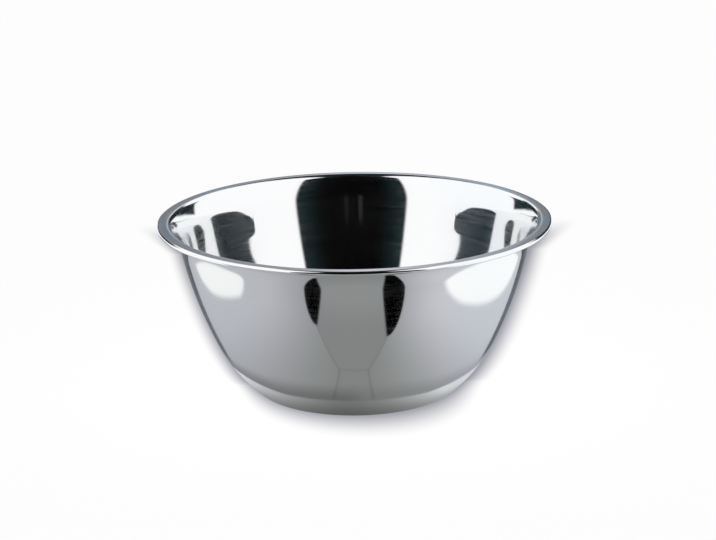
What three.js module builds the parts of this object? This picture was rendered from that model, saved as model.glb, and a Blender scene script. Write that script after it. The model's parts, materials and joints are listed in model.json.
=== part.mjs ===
// A conical mixing bowl drawn from one disc of stainless steel sheet.
// Millimetres, +Z up, origin at the middle of the base, on the plane that the bowl stands on.
//
// The bowl has no seam: base, corner, belly, wall, cone, flare, lip, flange and curled edge are one sheet
// of even thickness. Its section is a chain of bends, each tangent to the next, with straight runs between
// some of them, and the bowl is that section turned about the Z axis.

import * as THREE from "three";

// Overall sizes
const RIM_DIAMETER = 240; // over the curled edge
const HEIGHT = 106; // from the standing ring to the top of the flange
const SHEET = 0.6; // thickness of the steel

// Wall, measured on the outside of the sheet
const CONE_DRAFT = THREE.MathUtils.degToRad(13.25); // lean of the cone from upright
const CONE_DEPTH = 5.3; // height of the straight cone under the flare
const WALL_RADIUS = 268; // long shallow bend below the cone
const BELLY_DRAFT = THREE.MathUtils.degToRad(26); // lean from upright where the wall meets the belly
const BELLY_RADIUS = 90; // rounder bend from there to the corner
const CORNER_RADIUS = 4; // tight bend between the belly and the base

// Rim
const FLANGE_WIDTH = 5.75; // flat flange and curled edge together
const LIP_RADIUS = 4; // bend from the flare to the flange, on the side that shows
const FLARE_RADIUS = 38; // gentle bend outwards below the lip, on the side that shows
const FLARE_DRAFT = THREE.MathUtils.degToRad(33); // lean from upright where the flare meets the lip
const CURL_DIAMETER = 2.8; // outside of the curled edge
const CURL_TURN = THREE.MathUtils.degToRad(270); // how far the edge is rolled over and under

// Base, pressed up in the middle so that the bowl stands on a ring
const STANDING_RING_WIDTH = 8;
const BASE_RISE = 1.2;
const STEP_RADIUS = 4; // both bends of the step inside the ring, on the underside

// Facets
const TURN_SEGMENTS = 72;
const SMALL_BEND_STEPS = 3; // lip, flare, corner and base step
const BELLY_STEPS = 5;
const WALL_STEPS = 4;
const CURL_STEPS = 9;

const STEEL = new THREE.MeshStandardMaterial({ color: 0xc4c5c6, roughness: 0.12, metalness: 1 });

// A point at a polar angle about a centre, in the plane of the section: x is the radius, y the height.
function polar(centre, radius, angle) {
  return new THREE.Vector2(centre.x + radius * Math.cos(angle), centre.y + radius * Math.sin(angle));
}

// One bend of the sheet. The outside face has the given radius, and the inside face is a sheet's
// thickness nearer to the centre of the bend, or further from it where the sheet turns away.
function bend(centre, outsideRadius, from, to, steps, turnsAway = false) {
  const insideRadius = turnsAway ? outsideRadius + SHEET : outsideRadius - SHEET;
  const face = (radius) =>
    Array.from({ length: steps + 1 }, (_, i) => polar(centre, radius, from + ((to - from) * i) / steps));
  return { outside: face(outsideRadius), inside: face(insideRadius) };
}

// The bends of the section in order, from the middle of the base to the cut end of the curl.
function sectionBends() {
  const quarter = Math.PI / 2;
  const coneSlope = quarter - CONE_DRAFT; // from level
  const bellySlope = quarter - BELLY_DRAFT;
  const flareSlope = quarter - FLARE_DRAFT;
  const curlRadius = CURL_DIAMETER / 2;
  const rimRadius = RIM_DIAMETER / 2;

  const curlCentre = new THREE.Vector2(rimRadius - curlRadius, HEIGHT - curlRadius);
  const lipCentre = new THREE.Vector2(rimRadius - FLANGE_WIDTH, HEIGHT - LIP_RADIUS);
  const flareCentre = polar(lipCentre, LIP_RADIUS - FLARE_RADIUS, flareSlope + quarter);
  const lipOutside = LIP_RADIUS - SHEET;
  const flareOutside = FLARE_RADIUS - SHEET;

  // The cone runs straight down from the flare. The wall bends in from its foot, and the belly more so.
  const coneTop = polar(flareCentre, flareOutside, coneSlope + quarter);
  const coneFoot = new THREE.Vector2(coneTop.x - CONE_DEPTH * Math.tan(CONE_DRAFT), coneTop.y - CONE_DEPTH);
  const wallCentre = polar(coneFoot, WALL_RADIUS, coneSlope + quarter);
  const wallFoot = polar(wallCentre, WALL_RADIUS, bellySlope - quarter);
  const bellyCentre = polar(wallFoot, BELLY_RADIUS, bellySlope + quarter);

  // The corner touches the belly from within and the standing plane from above.
  const reach = BELLY_RADIUS - CORNER_RADIUS;
  const drop = bellyCentre.y - CORNER_RADIUS;
  const cornerCentre = new THREE.Vector2(bellyCentre.x + Math.sqrt(reach ** 2 - drop ** 2), CORNER_RADIUS);
  const cornerSlope = quarter - Math.asin(drop / reach);

  // Inside the standing ring, two equal bends lift the middle of the base.
  const stepSlope = Math.acos(1 - BASE_RISE / (2 * STEP_RADIUS));
  const stepRun = STEP_RADIUS * Math.sin(stepSlope);
  const ringInside = cornerCentre.x - STANDING_RING_WIDTH;
  const stepFoot = new THREE.Vector2(ringInside, STEP_RADIUS);
  const stepHead = new THREE.Vector2(ringInside - 2 * stepRun, BASE_RISE - STEP_RADIUS);

  return [
    bend(stepHead, STEP_RADIUS, quarter, quarter - stepSlope, SMALL_BEND_STEPS, true),
    bend(stepFoot, STEP_RADIUS, -quarter - stepSlope, -quarter, SMALL_BEND_STEPS),
    bend(cornerCentre, CORNER_RADIUS, -quarter, cornerSlope - quarter, SMALL_BEND_STEPS),
    bend(bellyCentre, BELLY_RADIUS, cornerSlope - quarter, bellySlope - quarter, BELLY_STEPS),
    bend(wallCentre, WALL_RADIUS, bellySlope - quarter, coneSlope - quarter, WALL_STEPS),
    bend(flareCentre, flareOutside, coneSlope + quarter, flareSlope + quarter, SMALL_BEND_STEPS, true),
    bend(lipCentre, lipOutside, flareSlope + quarter, quarter, SMALL_BEND_STEPS, true),
    bend(curlCentre, curlRadius - SHEET, quarter, quarter - CURL_TURN, CURL_STEPS, true),
  ];
}

// The closed section: out along the underside to the end of the curl, and back along the inside.
function bowlSection() {
  const bends = sectionBends();
  const outside = [new THREE.Vector2(0, BASE_RISE), ...bends.flatMap((b) => b.outside)];
  const inside = [new THREE.Vector2(0, BASE_RISE + SHEET), ...bends.flatMap((b) => b.inside)];
  return dropRepeats([...outside, ...inside.reverse()]);
}

// Two bends that follow on without a straight run share a point, which is kept once.
function dropRepeats(points) {
  const same = 1e-3;
  return points.filter((p, i) => i === 0 || p.distanceTo(points[i - 1]) > same);
}

// LatheGeometry turns about Y, so the bowl is tipped up to stand along Z.
function bowlShell() {
  const geometry = new THREE.LatheGeometry(bowlSection(), TURN_SEGMENTS);
  geometry.rotateX(Math.PI / 2);
  const shell = new THREE.Mesh(geometry, STEEL);
  shell.name = "bowl_shell";
  return shell;
}

const bowl = new THREE.Group();
bowl.name = "conical_bowl";
bowl.add(bowlShell());

export default bowl;
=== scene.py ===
"""A polished conical bowl, spun from one section, and the studio that it is pictured in.

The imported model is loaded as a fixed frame, in metres, with +Z up and the camera on the -Y side.
"""

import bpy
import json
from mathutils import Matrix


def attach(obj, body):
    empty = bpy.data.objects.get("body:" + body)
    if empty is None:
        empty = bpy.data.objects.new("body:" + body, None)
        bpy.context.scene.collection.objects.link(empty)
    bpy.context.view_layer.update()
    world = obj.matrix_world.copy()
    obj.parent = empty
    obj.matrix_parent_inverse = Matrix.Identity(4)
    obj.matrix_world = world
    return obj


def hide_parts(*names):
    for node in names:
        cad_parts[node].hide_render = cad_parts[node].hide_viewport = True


bl_info = {
    "name": "Conical Bowl",
    "version": (1, 0, 0),
    "blender": (4, 5, 0),
    "location": "View3D > Sidebar > Bowl",
    "description": "Spins a polished steel bowl with a curled rim and dresses a studio round it",
    "category": "Add Mesh",
}

import json
from math import acos, asin, cos, pi, radians, sin, sqrt, tan

import bmesh
import bpy
from bpy.props import FloatProperty, FloatVectorProperty, IntProperty, PointerProperty
from mathutils import Quaternion, Vector

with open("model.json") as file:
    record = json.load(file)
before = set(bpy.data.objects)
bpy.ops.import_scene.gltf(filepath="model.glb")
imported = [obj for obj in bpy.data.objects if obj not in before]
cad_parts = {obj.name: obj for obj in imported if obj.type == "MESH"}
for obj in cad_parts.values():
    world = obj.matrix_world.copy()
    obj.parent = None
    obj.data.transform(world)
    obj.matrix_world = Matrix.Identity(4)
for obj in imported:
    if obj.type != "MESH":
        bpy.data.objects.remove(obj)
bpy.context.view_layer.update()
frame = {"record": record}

NODE = "bowl_shell"
QUARTER = pi / 2


# Sizes, finish and studio


class BowlSizes(bpy.types.PropertyGroup):
    """The section of the bowl, measured on the outside of the sheet."""

    rim_diameter: FloatProperty(
        name="Rim diameter", description="Over the curled edge",
        default=0.240, min=0.05, unit="LENGTH", precision=4,
    )
    height: FloatProperty(
        name="Height", description="From the standing ring to the top of the flange",
        default=0.106, min=0.02, unit="LENGTH", precision=4,
    )
    sheet: FloatProperty(
        name="Sheet", description="Thickness of the steel",
        default=0.0006, min=0.0002, unit="LENGTH", precision=4,
    )
    cone_draft: FloatProperty(
        name="Cone draft", description="Lean of the cone from upright",
        default=radians(13.25), subtype="ANGLE",
    )
    cone_depth: FloatProperty(
        name="Cone depth", description="Height of the straight cone under the flare",
        default=0.0053, unit="LENGTH", precision=4,
    )
    wall_radius: FloatProperty(
        name="Wall radius", description="Long shallow bend below the cone",
        default=0.268, unit="LENGTH", precision=4,
    )
    belly_draft: FloatProperty(
        name="Belly draft", description="Lean from upright where the wall meets the belly",
        default=radians(26), subtype="ANGLE",
    )
    belly_radius: FloatProperty(
        name="Belly radius", description="Rounder bend from the wall to the corner",
        default=0.090, unit="LENGTH", precision=4,
    )
    corner_radius: FloatProperty(
        name="Corner radius", description="Tight bend between the belly and the base",
        default=0.004, unit="LENGTH", precision=4,
    )
    flange_width: FloatProperty(
        name="Flange width", description="Flat flange and curled edge together",
        default=0.00575, unit="LENGTH", precision=4,
    )
    lip_radius: FloatProperty(
        name="Lip radius", description="Bend from the flare to the flange, on the side that shows",
        default=0.004, unit="LENGTH", precision=4,
    )
    flare_radius: FloatProperty(
        name="Flare radius", description="Gentle bend outwards below the lip, on the side that shows",
        default=0.038, unit="LENGTH", precision=4,
    )
    flare_draft: FloatProperty(
        name="Flare draft", description="Lean from upright where the flare meets the lip",
        default=radians(33), subtype="ANGLE",
    )
    curl_diameter: FloatProperty(
        name="Curl diameter", description="Outside of the curled edge",
        default=0.0028, unit="LENGTH", precision=4,
    )
    curl_turn: FloatProperty(
        name="Curl turn", description="How far the edge is rolled over and under",
        default=radians(270), subtype="ANGLE",
    )
    ring_width: FloatProperty(
        name="Standing ring width", description="Flat ring that the bowl stands on",
        default=0.008, unit="LENGTH", precision=4,
    )
    base_rise: FloatProperty(
        name="Base rise", description="How far the middle of the base is pressed up",
        default=0.0012, unit="LENGTH", precision=4,
    )
    step_radius: FloatProperty(
        name="Step radius", description="Both bends of the step inside the standing ring",
        default=0.004, unit="LENGTH", precision=4,
    )
    turn_steps: IntProperty(
        name="Turn steps", description="Faces round the bowl", default=256, min=24,
    )


class SteelFinish(bpy.types.PropertyGroup):
    """The polished steel."""

    colour: FloatVectorProperty(
        name="Steel colour", description="Colour of a clean mirror-polished patch",
        default=(0.915, 0.92, 0.925), subtype="COLOR", min=0, max=1,
    )
    roughness: FloatProperty(
        name="Roughness", description="Of a clean mirror-polished patch",
        default=0.045, min=0, max=1, subtype="FACTOR",
    )
    line_roughness: FloatProperty(
        name="Line roughness", description="Added where the polishing lines are coarsest",
        default=0.05, min=0, max=1, subtype="FACTOR",
    )
    haze: FloatProperty(
        name="Haze", description="Haze of the finest polishing lines, front and back",
        default=0.34, min=0, max=1, subtype="FACTOR",
    )
    side_haze: FloatProperty(
        name="Side haze", description="Haze of those lines at both sides of the bowl",
        default=0.80, min=0, max=1, subtype="FACTOR",
    )
    haze_width: FloatProperty(
        name="Haze width", description="Roughness of that haze",
        default=0.24, min=0, max=1, subtype="FACTOR",
    )
    # A painted cool sheen: a blue tint of the reflections at both sides of the bowl
    painted_sheen: FloatProperty(
        name="Bloom", description="Share of a cool bloom at both sides of the bowl",
        default=0.03, min=0, max=1, subtype="FACTOR",
    )
    painted_sheen_colour: FloatVectorProperty(
        name="Bloom colour", description="Colour of that bloom",
        default=(0.30, 0.70, 1.0), subtype="COLOR", min=0, max=1,
    )
    painted_sheen_width: FloatProperty(
        name="Bloom width", description="Roughness of that bloom",
        default=0.35, min=0, max=1, subtype="FACTOR",
    )
    line_pitch: FloatProperty(
        name="Line pitch", description="Typical distance between polishing lines",
        default=0.0005, unit="LENGTH", precision=5,
    )
    line_length: FloatProperty(
        name="Line length", description="Typical length of a polishing line at the rim",
        default=0.014, unit="LENGTH", precision=4,
    )
    line_depth: FloatProperty(
        name="Line depth", description="Depth of the polishing lines",
        default=0.000001, unit="LENGTH", precision=6,
    )
    wave_length: FloatProperty(
        name="Wave length", description="Typical size of the shallow waves left by pressing",
        default=0.030, unit="LENGTH", precision=4,
    )
    wave_depth: FloatProperty(
        name="Wave depth", description="Depth of the shallow waves left by pressing",
        default=0.00003, unit="LENGTH", precision=6,
    )
    patch_lean: FloatProperty(
        name="Patch lean", description="How much the wall leans in at both sides, in a patch under the rim",
        default=radians(2), subtype="ANGLE",
    )


class StudioLook(bpy.types.PropertyGroup):
    """Floor, light and camera."""

    floor_radius: FloatProperty(
        name="Floor radius", description="Size of the round floor", default=6.0, unit="LENGTH",
    )
    floor_glow: FloatProperty(
        name="Floor glow", description="Light that the pale floor gives by itself", default=1.15, min=0,
    )
    floor_lit: FloatProperty(
        name="Floor lit", description="Share of the floor that takes light and shadow from the lamp",
        default=0.20, min=0.01, max=1, subtype="FACTOR",
    )
    # The soft shade next to the bowl is painted into the floor colour; these set its width and darkness
    painted_shade_reach: FloatProperty(
        name="Shade reach", description="Width of the soft shade at the right of the bowl",
        default=0.0160, unit="LENGTH", precision=4,
    )
    painted_shade_left: FloatProperty(
        name="Shade left", description="Width of the soft shade at the left of the bowl",
        default=0.0115, unit="LENGTH", precision=4,
    )
    painted_shade_depth: FloatProperty(
        name="Shade depth", description="Darkness of the soft shade next to the bowl",
        default=0.82, min=0, max=1, subtype="FACTOR",
    )
    lamp_light: FloatProperty(
        name="Lamp light", description="Light of the lamp on a face turned to it", default=3.0, min=0,
    )
    lamp_rise: FloatProperty(
        name="Lamp rise", description="Elevation of the lamp on the camera's side",
        default=radians(19.5), subtype="ANGLE",
    )
    lamp_size: FloatProperty(
        name="Lamp size", description="Angle that the lamp fills, which softens the shadow",
        default=radians(7), subtype="ANGLE",
    )
    panel_light: FloatProperty(
        name="Panel light", description="Brightness of the white panels round the bowl",
        default=1.06, min=0,
    )
    card_light: FloatProperty(
        name="Card light", description="Brightness of the black card behind the camera",
        default=0.002, min=0,
    )
    back_light: FloatProperty(
        name="Back light", description="Brightness low down behind the bowl", default=0.20, min=0,
    )
    # The table that the steel mirrors is painted as a glow on the floor, seen only in reflections
    table_light: FloatProperty(
        name="Table light", description="Brightness of the table that the steel mirrors",
        default=0.83, min=0,
    )
    camera_distance: FloatProperty(
        name="Camera distance", description="From the middle of the bowl", default=1.4, unit="LENGTH",
    )
    camera_rise: FloatProperty(
        name="Camera rise", description="Elevation of the camera over the middle of the bowl",
        default=radians(16.78), subtype="ANGLE",
    )
    camera_roll: FloatProperty(
        name="Camera roll", description="Lean of the camera to its right",
        default=radians(0.9), subtype="ANGLE",
    )
    camera_lens: FloatProperty(
        name="Camera lens", description="Focal length in millimetres on a 36 mm sensor",
        default=114.6, min=10,
    )
    aim_aside: FloatProperty(
        name="Aim aside", description="The picture's middle, to the right of the bowl's axis",
        default=0.00174, unit="LENGTH", precision=4,
    )
    aim_height: FloatProperty(
        name="Aim height", description="The picture's middle, above the floor",
        default=0.07292, unit="LENGTH", precision=4,
    )


# Shader graphs


class Value:
    """A socket that gives a number. Arithmetic on it adds Math nodes."""

    def __init__(self, graph, socket):
        self.graph = graph
        self.socket = socket

    def math(self, operation, *others):
        inputs = dict(enumerate((self, *others)))
        return self.graph.node("ShaderNodeMath", {"operation": operation}, inputs)

    def _reflected(self, operation, other):
        return self.graph.node("ShaderNodeMath", {"operation": operation}, {0: other, 1: self})

    def __add__(self, other):
        return self.math("ADD", other)

    def __sub__(self, other):
        return self.math("SUBTRACT", other)

    def __rsub__(self, other):
        return self._reflected("SUBTRACT", other)

    def __mul__(self, other):
        return self.math("MULTIPLY", other)

    def __truediv__(self, other):
        return self.math("DIVIDE", other)

    def __rtruediv__(self, other):
        return self._reflected("DIVIDE", other)

    def __pow__(self, other):
        return self.math("POWER", other)

    def at_least(self, floor):
        return self.math("MAXIMUM", floor)

    def at_most(self, ceiling):
        return self.math("MINIMUM", ceiling)

    def __neg__(self):
        return self.math("MULTIPLY", -1)

    def __abs__(self):
        return self.math("ABSOLUTE")

    __radd__ = __add__
    __rmul__ = __mul__


class Graph:
    """Fills the node tree of a material or a world."""

    def __init__(self, tree):
        tree.nodes.clear()
        self.tree = tree

    def node(self, kind, settings=None, inputs=None, output=0):
        """Adds a node: its settings first, then the values or links of its sockets. Gives one output."""
        made = self.tree.nodes.new(kind)
        for name, value in (settings or {}).items():
            setattr(made, name, value)
        for key, value in (inputs or {}).items():
            if isinstance(value, Value):
                self.tree.links.new(value.socket, made.inputs[key])
            else:
                made.inputs[key].default_value = value
        return Value(self, made.outputs[output]) if made.outputs else None

    def split(self, vector):
        """The X, Y and Z of a vector."""
        made = self.node("ShaderNodeSeparateXYZ", inputs={0: vector})
        return [Value(self, out) for out in made.socket.node.outputs]

    def join(self, x, y, z):
        return self.node("ShaderNodeCombineXYZ", inputs={0: x, 1: y, 2: z})

    def ramp(self, value, low, high):
        """0 below low and 1 above high, with a smooth step between them."""
        inputs = {"Value": value, "From Min": low, "From Max": high}
        return self.node("ShaderNodeMapRange", {"interpolation_type": "SMOOTHSTEP"}, inputs)

    def band(self, value, low, high, soft):
        """1 between low and high, and 0 outside them, with soft edges."""
        return self.ramp(value, low - soft, low + soft) * (1 - self.ramp(value, high - soft, high + soft))

    def noise(self, vector, scale, detail=2.0, roughness=0.5):
        inputs = {"Vector": vector, "Scale": scale, "Detail": detail, "Roughness": roughness}
        return self.node("ShaderNodeTexNoise", inputs=inputs)

    def blend(self, factor, first, second):
        """A mix of two colours."""
        inputs = {0: factor, 6: first, 7: second}
        return self.node("ShaderNodeMix", {"data_type": "RGBA"}, inputs, output=2)

    def scaled(self, colour, factor):
        """A colour times a number."""
        return self.node("ShaderNodeVectorMath", {"operation": "SCALE"}, {0: colour, "Scale": factor})

    def blend_number(self, factor, first, second):
        return self.node("ShaderNodeMix", {"data_type": "FLOAT"}, {0: factor, 2: first, 3: second})

    def either(self, factor, first, second):
        """A mix of two shaders."""
        return self.node("ShaderNodeMixShader", inputs={0: factor, 1: first, 2: second})


def grey(level):
    return (level, level, level, 1)


def new_material(name):
    material = bpy.data.materials.new(name)
    material.use_nodes = True
    return material, Graph(material.node_tree)


def polished_steel(finish):
    """Mirror-polished steel: fine lines round the axis, shallow pressing waves, streaked haze and a painted
    cool sheen at both sides.
    """
    material, g = new_material("polished_steel")
    place = g.node("ShaderNodeTexCoord", output="Object")
    x, y, z = g.split(place)
    out = (x * x + y * y + 1e-9) ** 0.5
    along = out + z  # grows all the way from the middle of the base to the rim

    # Lines that run round the bowl: quick to change along the section, slow to change round it.
    def lines(pitch, length):
        arcs = 0.12 / length
        return g.noise(g.join(x / out * arcs, y / out * arcs, along / pitch), 1.0, 2.0, 0.6)

    fine = lines(finish.line_pitch, finish.line_length)
    streaks = lines(finish.line_pitch * 3, finish.line_length * 3)
    scored = g.ramp(fine * 0.5 + streaks * 0.5, 0.48, 0.70)
    roughness = scored * finish.line_roughness + finish.roughness

    # Streaked haze, and a painted cool sheen that tints the reflections blue at both sides and is stronger
    # at the right
    at_sides = g.ramp(abs(x), 0.045, 0.075) * (1 - g.ramp(abs(x), 0.088, 0.100) * 0.7)
    haze = g.blend_number(at_sides, finish.haze, finish.side_haze) * (streaks * 5 - 1.5)
    painted_sheen_share = at_sides * (g.ramp(x, -0.01, 0.01) * 1.1 + 1) * finish.painted_sheen

    # Shallow waves all over, and a patch under the rim at both sides that leans in a little
    waves = g.noise(place, 1 / finish.wave_length, 1.0)
    aside = abs(x) / out
    foot = 0.0735
    head = (aside - 0.625).at_least(0) ** 0.5 * 0.0555 + (foot + 0.005)
    lean = g.ramp(z, foot, head) * (1 - g.ramp(z, head, head + 0.012)) * (head - foot)
    lean = (lean - g.ramp(z, 0.055, foot) * 0.003) * (tan(finish.patch_lean) / 1.5)
    patch = lean * g.ramp(aside, 0.60, 0.66) * g.ramp(y, 0.0, 0.03)
    pressed = g.node("ShaderNodeBump", inputs={
        "Strength": 1.0, "Distance": 1.0, "Height": waves * finish.wave_depth + patch,
    })
    brushed = g.node("ShaderNodeBump", inputs={
        "Strength": 1.0, "Distance": finish.line_depth, "Height": fine, "Normal": pressed,
    })

    polish = g.node("ShaderNodeBsdfPrincipled", inputs={
        "Base Color": (*finish.colour, 1),
        "Metallic": 1.0,
        "Roughness": roughness,
        "Coat Weight": haze,
        "Coat Roughness": finish.haze_width,
        "Coat IOR": 2.0,
        "Normal": brushed,
    })
    # Blue metal mixed in at both sides: a painted tint of the reflections
    painted_sheen = g.node("ShaderNodeBsdfPrincipled", inputs={
        "Base Color": (*finish.painted_sheen_colour, 1),
        "Metallic": 1.0,
        "Roughness": finish.painted_sheen_width,
        "Normal": brushed,
    })
    g.node("ShaderNodeOutputMaterial", inputs={"Surface": g.either(painted_sheen_share, polish, painted_sheen)})
    return material


# Bowl


class SectionPen:
    """Draws a section in the XZ plane from the axis outwards, as straight runs and tangent bends."""

    def __init__(self, bm, start):
        self.bm = bm
        self.tip = bm.verts.new(start)
        self.heading = 0.0  # from level, growing as the section turns up

    def run(self, length, steps=1):
        ahead = Vector((cos(self.heading), 0, sin(self.heading)))
        for _ in range(steps):
            self.tip = bmesh.ops.extrude_vert_indiv(self.bm, verts=[self.tip])["verts"][0]
            bmesh.ops.translate(self.bm, verts=[self.tip], vec=ahead * (length / steps))

    def bend(self, radius, turn, steps):
        """Turns up by a positive angle or down by a negative one."""
        side = radius if turn > 0 else -radius
        centre = self.tip.co + side * Vector((-sin(self.heading), 0, cos(self.heading)))
        spun = bmesh.ops.spin(
            self.bm, geom=[self.tip], cent=centre, axis=(0, 1, 0), angle=-turn, steps=steps,
        )
        self.tip = next(e for e in spun["geom_last"] if isinstance(e, bmesh.types.BMVert))
        self.heading += turn


def inward(slope):
    """From a wall of this slope to the centre of its bend, in the plane of the section."""
    return Vector((-sin(slope), cos(slope)))


def draw_section(bm, s):
    """The outside of the sheet, from the middle of the base to the cut end of the curl."""
    cone_slope = QUARTER - s.cone_draft
    belly_slope = QUARTER - s.belly_draft
    flare_slope = QUARTER - s.flare_draft
    curl_radius = s.curl_diameter / 2
    lip_outside = s.lip_radius - s.sheet
    flare_outside = s.flare_radius - s.sheet

    # The cone hangs straight from the flare. The wall bends in from its foot, and the belly more so.
    lip_centre = Vector((s.rim_diameter / 2 - s.flange_width, s.height - s.lip_radius))
    flare_centre = lip_centre + (s.lip_radius - s.flare_radius) * inward(flare_slope)
    cone_top = flare_centre + flare_outside * inward(cone_slope)
    cone_foot = cone_top - Vector((s.cone_depth * tan(s.cone_draft), s.cone_depth))
    wall_centre = cone_foot + s.wall_radius * inward(cone_slope)
    wall_foot = wall_centre - s.wall_radius * inward(belly_slope)
    belly_centre = wall_foot + s.belly_radius * inward(belly_slope)

    # The corner touches the belly from within and the standing plane from above.
    reach = s.belly_radius - s.corner_radius
    drop = belly_centre.y - s.corner_radius
    ring_outside = belly_centre.x + sqrt(reach ** 2 - drop ** 2)
    corner_slope = QUARTER - asin(drop / reach)

    # Inside the standing ring, two equal bends lift the middle of the base.
    step_slope = acos(1 - s.base_rise / (2 * s.step_radius))
    step_run = 2 * s.step_radius * sin(step_slope)

    pen = SectionPen(bm, (0, 0, s.base_rise))
    pen.run(ring_outside - s.ring_width - step_run, steps=3)
    pen.bend(s.step_radius, -step_slope, steps=6)
    pen.bend(s.step_radius, step_slope, steps=6)
    pen.run(s.ring_width, steps=2)
    pen.bend(s.corner_radius, corner_slope, steps=12)
    pen.bend(s.belly_radius, belly_slope - corner_slope, steps=32)
    pen.bend(s.wall_radius, cone_slope - belly_slope, steps=28)
    pen.run(s.cone_depth / cos(s.cone_draft), steps=4)
    pen.bend(flare_outside, flare_slope - cone_slope, steps=16)
    pen.bend(lip_outside, -flare_slope, steps=16)
    pen.run(s.flange_width - curl_radius, steps=3)
    pen.bend(curl_radius - s.sheet, -s.curl_turn, steps=30)


class BOWL_OT_spin_shell(bpy.types.Operator):
    """Spin the bowl's section, give the sheet its thickness and polish it"""

    bl_idname = "bowl.spin_shell"
    bl_label = "Spin Bowl Shell"
    bl_options = {"REGISTER", "UNDO"}

    def execute(self, context):
        sizes = context.scene.bowl_sizes
        bm = bmesh.new()
        draw_section(bm, sizes)
        bmesh.ops.spin(
            bm, geom=bm.verts[:] + bm.edges[:], cent=(0, 0, 0), axis=(0, 0, 1),
            angle=2 * pi, steps=sizes.turn_steps, use_merge=True,
        )
        bmesh.ops.remove_doubles(bm, verts=bm.verts[:], dist=1e-6)
        bmesh.ops.recalc_face_normals(bm, faces=bm.faces[:])
        bm.faces.ensure_lookup_table()
        base = min(bm.faces, key=lambda f: f.calc_center_median().xy.length)
        if base.normal.z > 0:
            bmesh.ops.reverse_faces(bm, faces=bm.faces[:])
        bmesh.ops.solidify(bm, geom=bm.faces[:], thickness=sizes.sheet)
        for face in bm.faces:
            face.smooth = True
        for edge in bm.edges:
            edge.smooth = edge.calc_face_angle(0) < radians(50)

        mesh = bpy.data.meshes.new("polished_shell")
        bm.to_mesh(mesh)
        bm.free()
        mesh.materials.append(polished_steel(context.scene.steel_finish))
        shell = bpy.data.objects.new("polished_shell", mesh)
        context.scene.collection.objects.link(shell)
        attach(shell, "root")
        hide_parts(NODE)
        return {"FINISHED"}


# Studio


def painted_table_reflection(g, x, y):
    """What the steel mirrors in place of the floor, painted as a glow: a grey table, two dark stands, two
    bright strips and the bowl's shadows.
    """
    aside = abs(x)
    ahead = -y
    on_right = g.ramp(x, -0.01, 0.01)

    def sided(left, right):
        return g.blend_number(on_right, left, right)

    # Grey table, painted lighter to both sides
    side = g.ramp(aside / sided(0.160, 0.140), 0.0, 1.0) * (1 - g.ramp(ahead, 0.12, 0.21) * 0.42)
    table = side * sided(0.32, 0.43) + 0.30

    # Strip down the middle, which opens out between the stands
    stand_aside = sided(0.053, 0.038)
    past_stand = ahead - sided(0.143, 0.132)
    inner = past_stand * 0.18 + stand_aside
    strip = ((ahead - 0.104).at_least(0) * 0.96 + sided(0.0165, 0.0115)).at_most(inner)
    beside = aside - strip
    tone = g.blend_number(g.ramp(beside, -0.002, 0.002), g.ramp(ahead, 0.14, 0.20) * 0.05 + 0.30, table)
    seam = g.band(beside, -0.0012, 0.0012, 0.0012) * g.ramp(ahead, 0.070, 0.076)
    step = g.band(ahead, 0.1035, 0.1050, 0.0012) * (1 - g.ramp(beside, -0.001, 0.001))
    tone = tone * (1 - seam * 0.14) * (1 - step * 0.12)

    # Dark stands, which widen towards the camera
    outer = past_stand.at_least(0) ** 0.65 * sided(0.323, 0.356) + stand_aside
    length = g.ramp(past_stand, 0.0, 0.003) * (1 - g.ramp(ahead, 0.202, 0.208))
    tone = tone * (1 - g.band(aside, inner, outer, 0.002) * length)

    # Painted bright strips at both sides, glowing brighter than white, rounded off towards the camera
    bowed = (y - sided(0.0, 0.03)).at_least(0) ** 2 * sided(2.5, 2.0)
    strip_edge = y * sided(0.18, 0.24) + sided(0.190, 0.1745) + bowed
    rounded = (sided(-0.066, -0.075) - y).at_least(0) ** 2 * sided(27, 4.9)
    strips = g.ramp(aside - strip_edge - rounded, -0.008, 0.008)
    tone = g.blend_number(strips, tone, sided(1.18, 1.27))

    # Painted shadow of the bowl on the table, which starts sharply along a slant behind each side of the
    # bowl
    behind = y - 0.032 - (aside - 0.113) * 1.28
    slant = g.ramp(behind, -0.005, 0.005) * g.ramp(aside, 0.086, 0.100)
    shade = behind * sided(1.3, 1.6) + sided(0.13, 0.10) - g.ramp(y, 0.08, 0.16) * 0.05
    tone = g.blend_number(slant, tone, shade.at_most(0.45))

    # Painted shade of the bowl's own foot: a shadow round it on the table and a painted tone under it
    out = (x * x + y * y) ** 0.5
    off_foot = out - 0.0735 - (y + 0.055).at_least(0) * 0.15
    tone = tone * (1 - (1 - g.ramp(off_foot, 0.0, 0.020)) * sided(0.42, 0.22))
    foot = (aside * aside * sided(100, 175) + sided(0.22, 0.25)).at_most(0.85)
    foot = foot * (g.ramp(out, 0.060, 0.0735) * 0.4 + 0.6)
    tone = g.blend_number(g.ramp(off_foot, -0.0012, 0.0012), foot, tone)

    # White floor far behind
    tone = g.blend_number(g.ramp(y, 0.32, 0.45), tone, 1.2)

    tint = g.blend(g.ramp(aside, 0.02, 0.09), (0.965, 1.0, 0.985, 1), (0.985, 1.0, 1.06, 1))
    # The painted shadow is tinted blue
    tint = g.blend(slant, tint, (0.945, 1.0, 1.15, 1))
    tint = g.blend(strips, tint, (1.0, 1.0, 0.985, 1))
    return g.scaled(tint, tone)


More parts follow.
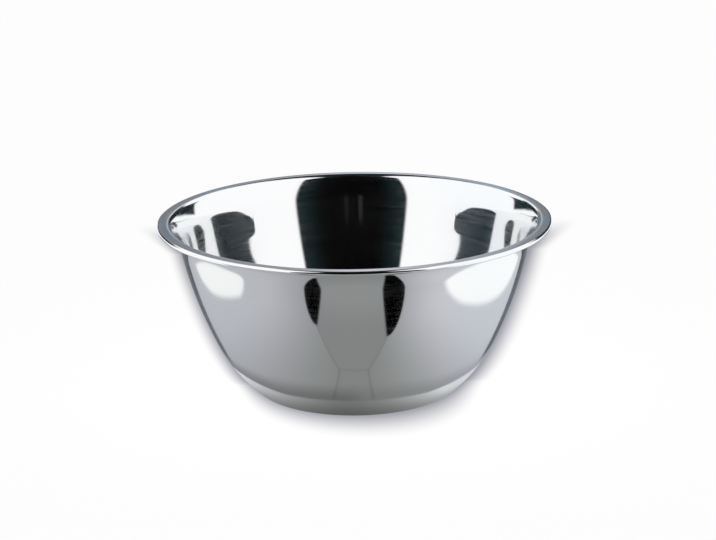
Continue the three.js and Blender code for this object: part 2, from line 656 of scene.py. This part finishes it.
def pale_floor(look):
    """White to the camera, with the bowl's shadow: a little of it cast by the lamp, most of it a shade
    painted into the floor colour. The steel mirrors a greyer table, painted as a glow.
    """
    material, g = new_material("pale_floor")
    material.cycles.emission_sampling = "NONE"
    x, y, _ = g.split(g.node("ShaderNodeTexCoord", output="Object"))

    # Painted shade round the foot of the bowl, in the floor colour, which widens behind it like the wall
    # and the rim above, in place of a soft shadow
    behind = y.at_least(0).at_most(0.40)
    off_axis = y - behind
    out = (x * x + off_axis * off_axis + 1e-9) ** 0.5
    front = abs(off_axis) / out
    belly = (1 - front) ** 3.5 * 0.0066 + behind ** 0.75 * 0.1555
    rim = (behind - 0.304).at_least(0) * 0.27
    off_bowl = (out - 0.0597 - belly - rim) / (front * front * 2.1 + 1)
    reach = g.blend_number(g.ramp(x, -0.06, 0.06), look.painted_shade_left, look.painted_shade_reach)
    shade = (1 - g.ramp(off_bowl, -0.006, reach)).at_most(0.8)
    depth = (1 - g.ramp(y, 0.30, 0.40)) * look.painted_shade_depth
    # The painted shade darkens the floor colour and tints it blue
    floor_white_and_painted_shade = g.blend(shade * depth, grey(1), (0, 0, 0.07, 1))
    lit = g.node("ShaderNodeBsdfDiffuse", inputs={"Color": floor_white_and_painted_shade})
    plain = g.node("ShaderNodeEmission", inputs={"Color": floor_white_and_painted_shade, "Strength": look.floor_glow})
    seen = g.either(look.floor_lit, plain, lit)
    # Reflections in the steel see the painted table glow instead of the lit floor
    table = painted_table_reflection(g, x, y)
    mirrored = g.node("ShaderNodeEmission", inputs={"Color": table, "Strength": look.table_light})
    path = g.node("ShaderNodeLightPath", output="Is Glossy Ray")
    above = g.either(path, seen, mirrored)
    clear = g.node("ShaderNodeBsdfTransparent")
    below = g.node("ShaderNodeNewGeometry", output="Backfacing")
    g.node("ShaderNodeOutputMaterial", inputs={"Surface": g.either(below, above, clear)})
    return material


def studio_world(look):
    """White panels all round, a tall black card behind the camera and a grey wall low down at the back."""
    world = bpy.data.worlds.new("studio_world")
    world.use_nodes = True
    g = Graph(world.node_tree)
    x, y, z = g.split(g.node("ShaderNodeTexCoord", output="Generated"))
    turn = x.math("ARCTAN2", -y)  # round from the camera's side
    rise = z.math("ARCSINE")
    away = abs(turn)

    # Grey wall low down at the back, lightest in the middle
    high = g.ramp(rise, radians(12), radians(13.3))
    level = g.ramp(away, radians(174.5), radians(178)) * 0.10 + look.back_light
    level = level + g.ramp(away, radians(177.8), radians(179.8)) * high * 0.25
    level = level + g.ramp(x, -0.02, 0.02) * g.ramp(away, radians(175.1), radians(176.4)) * 0.10
    cool = g.band(rise, radians(14.1), radians(15.1), radians(0.3)) + (1 - high)
    cool = cool * (1 - g.ramp(away, radians(174), radians(178.5)) * high)
    tint = g.blend(cool, (0.97, 0.99, 1.04, 1), (0.80, 0.98, 1.28, 1))
    back = g.ramp(away, radians(163), radians(166)) * (1 - g.ramp(rise, radians(19), radians(24)))
    light = g.blend(back, grey(look.panel_light), g.scaled(tint, level))

    # Black screens at both sides of that wall
    soft = radians(1.5)
    screen_right = g.band(turn, radians(128), radians(172), soft)
    screen_left = g.band(-turn, radians(128), radians(164.5), soft)
    screens = (screen_right + screen_left) * g.band(rise, radians(7.5), radians(27), soft)

    # Black card, and a black strip from the card over the top to the wall
    card_top = g.ramp(rise, radians(66), radians(76))
    card = g.band(turn, radians(-36.5), radians(40.5), radians(1.2)) * (1 - card_top)
    over = z.math("ARCTAN2", -y)
    span = ((radians(150) - over) * 0.26 + 0.07).at_most(0.2)
    strip = g.band(over, radians(60), radians(159), soft) * (1 - g.ramp(abs(x) - span, -0.03, 0.03))
    edges = g.ramp(abs(turn - radians(2)), radians(18), radians(36))
    dark = g.blend(edges, grey(look.card_light), (0.006, 0.014, 0.016, 1))

    # Two thin stands in front of the card, hardly lit
    stands = g.band(turn, radians(4), radians(6.8), radians(0.5)) * 0.5
    stands = stands + g.band(turn, radians(-5.8), radians(-2.9), radians(0.5))
    stands = stands * g.ramp(rise, radians(5), radians(11)) * (1 - g.ramp(rise, radians(14), radians(18)))
    dark = g.blend(stands, dark, grey(0.022))

    light = g.blend((screens + card + strip).at_most(1), light, dark)
    seen = g.node("ShaderNodeLightPath", output="Is Camera Ray")
    backdrop = g.node("ShaderNodeBackground", inputs={"Color": g.blend(seen, light, grey(1))})
    g.node("ShaderNodeOutputWorld", inputs={"Surface": backdrop})
    return world


def soft_lamp(look):
    """A soft lamp from the camera's side, which throws the bowl's shadow back over the floor."""
    light = bpy.data.lights.new("soft_lamp", "SUN")
    light.angle = look.lamp_size
    light.energy = look.lamp_light
    lamp = bpy.data.objects.new("soft_lamp", light)
    lamp.rotation_euler = (QUARTER - look.lamp_rise, 0, 0)
    lamp.visible_glossy = False
    return lamp


def photo_camera(look):
    """A long lens a little above the rim, leaning slightly to its right."""
    lens = bpy.data.cameras.new("photo_camera")
    lens.lens = look.camera_lens
    lens.clip_start = 0.01
    camera = bpy.data.objects.new("photo_camera", lens)
    middle = Vector((look.aim_aside, 0, frame["record"]["size"]["bbox_m"][2] / 2))
    back = Vector((0, -cos(look.camera_rise), sin(look.camera_rise)))
    camera.location = middle + back * look.camera_distance
    aim = Vector((look.aim_aside, 0, look.aim_height)) - camera.location
    camera.rotation_mode = "QUATERNION"
    camera.rotation_quaternion = aim.to_track_quat("-Z", "Y") @ Quaternion((0, 0, 1), -look.camera_roll)
    return camera


class BOWL_OT_dress_studio(bpy.types.Operator):
    """Lay the floor, light the bowl and set up the camera"""

    bl_idname = "bowl.dress_studio"
    bl_label = "Dress Studio"
    bl_options = {"REGISTER", "UNDO"}

    def execute(self, context):
        scene = context.scene
        look = scene.studio_look
        bm = bmesh.new()
        bmesh.ops.create_circle(bm, cap_ends=True, segments=64, radius=look.floor_radius)
        bmesh.ops.translate(bm, verts=bm.verts[:], vec=(0, 0, -0.00005))
        mesh = bpy.data.meshes.new("pale_floor")
        bm.to_mesh(mesh)
        bm.free()
        mesh.materials.append(pale_floor(look))
        floor = bpy.data.objects.new("pale_floor", mesh)
        scene.collection.objects.link(floor)

        scene.collection.objects.link(soft_lamp(look))
        scene.world = studio_world(look)
        scene.world.cycles_visibility.diffuse = False
        scene.camera = photo_camera(look)
        scene.collection.objects.link(scene.camera)
        scene.view_settings.view_transform = "Standard"
        return {"FINISHED"}


# Add-on


class BOWL_PT_panel(bpy.types.Panel):
    """Sizes, finish and studio of the bowl"""

    bl_idname = "BOWL_PT_panel"
    bl_label = "Conical Bowl"
    bl_space_type = "VIEW_3D"
    bl_region_type = "UI"
    bl_category = "Bowl"

    def draw(self, context):
        groups = (
            (context.scene.bowl_sizes, BOWL_OT_spin_shell),
            (context.scene.steel_finish, None),
            (context.scene.studio_look, BOWL_OT_dress_studio),
        )
        for group, maker in groups:
            box = self.layout.box()
            for name in group.__annotations__:
                box.prop(group, name)
            if maker:
                box.operator(maker.bl_idname)


CLASSES = (BowlSizes, SteelFinish, StudioLook, BOWL_OT_spin_shell, BOWL_OT_dress_studio, BOWL_PT_panel)


def register():
    for cls in CLASSES:
        bpy.utils.register_class(cls)
    bpy.types.Scene.bowl_sizes = PointerProperty(type=BowlSizes)
    bpy.types.Scene.steel_finish = PointerProperty(type=SteelFinish)
    bpy.types.Scene.studio_look = PointerProperty(type=StudioLook)


def unregister():
    del bpy.types.Scene.studio_look
    del bpy.types.Scene.steel_finish
    del bpy.types.Scene.bowl_sizes
    for cls in reversed(CLASSES):
        bpy.utils.unregister_class(cls)


def main():
    register()
    bpy.ops.bowl.spin_shell()
    bpy.ops.bowl.dress_studio()


if __name__ == "__main__":
    main()
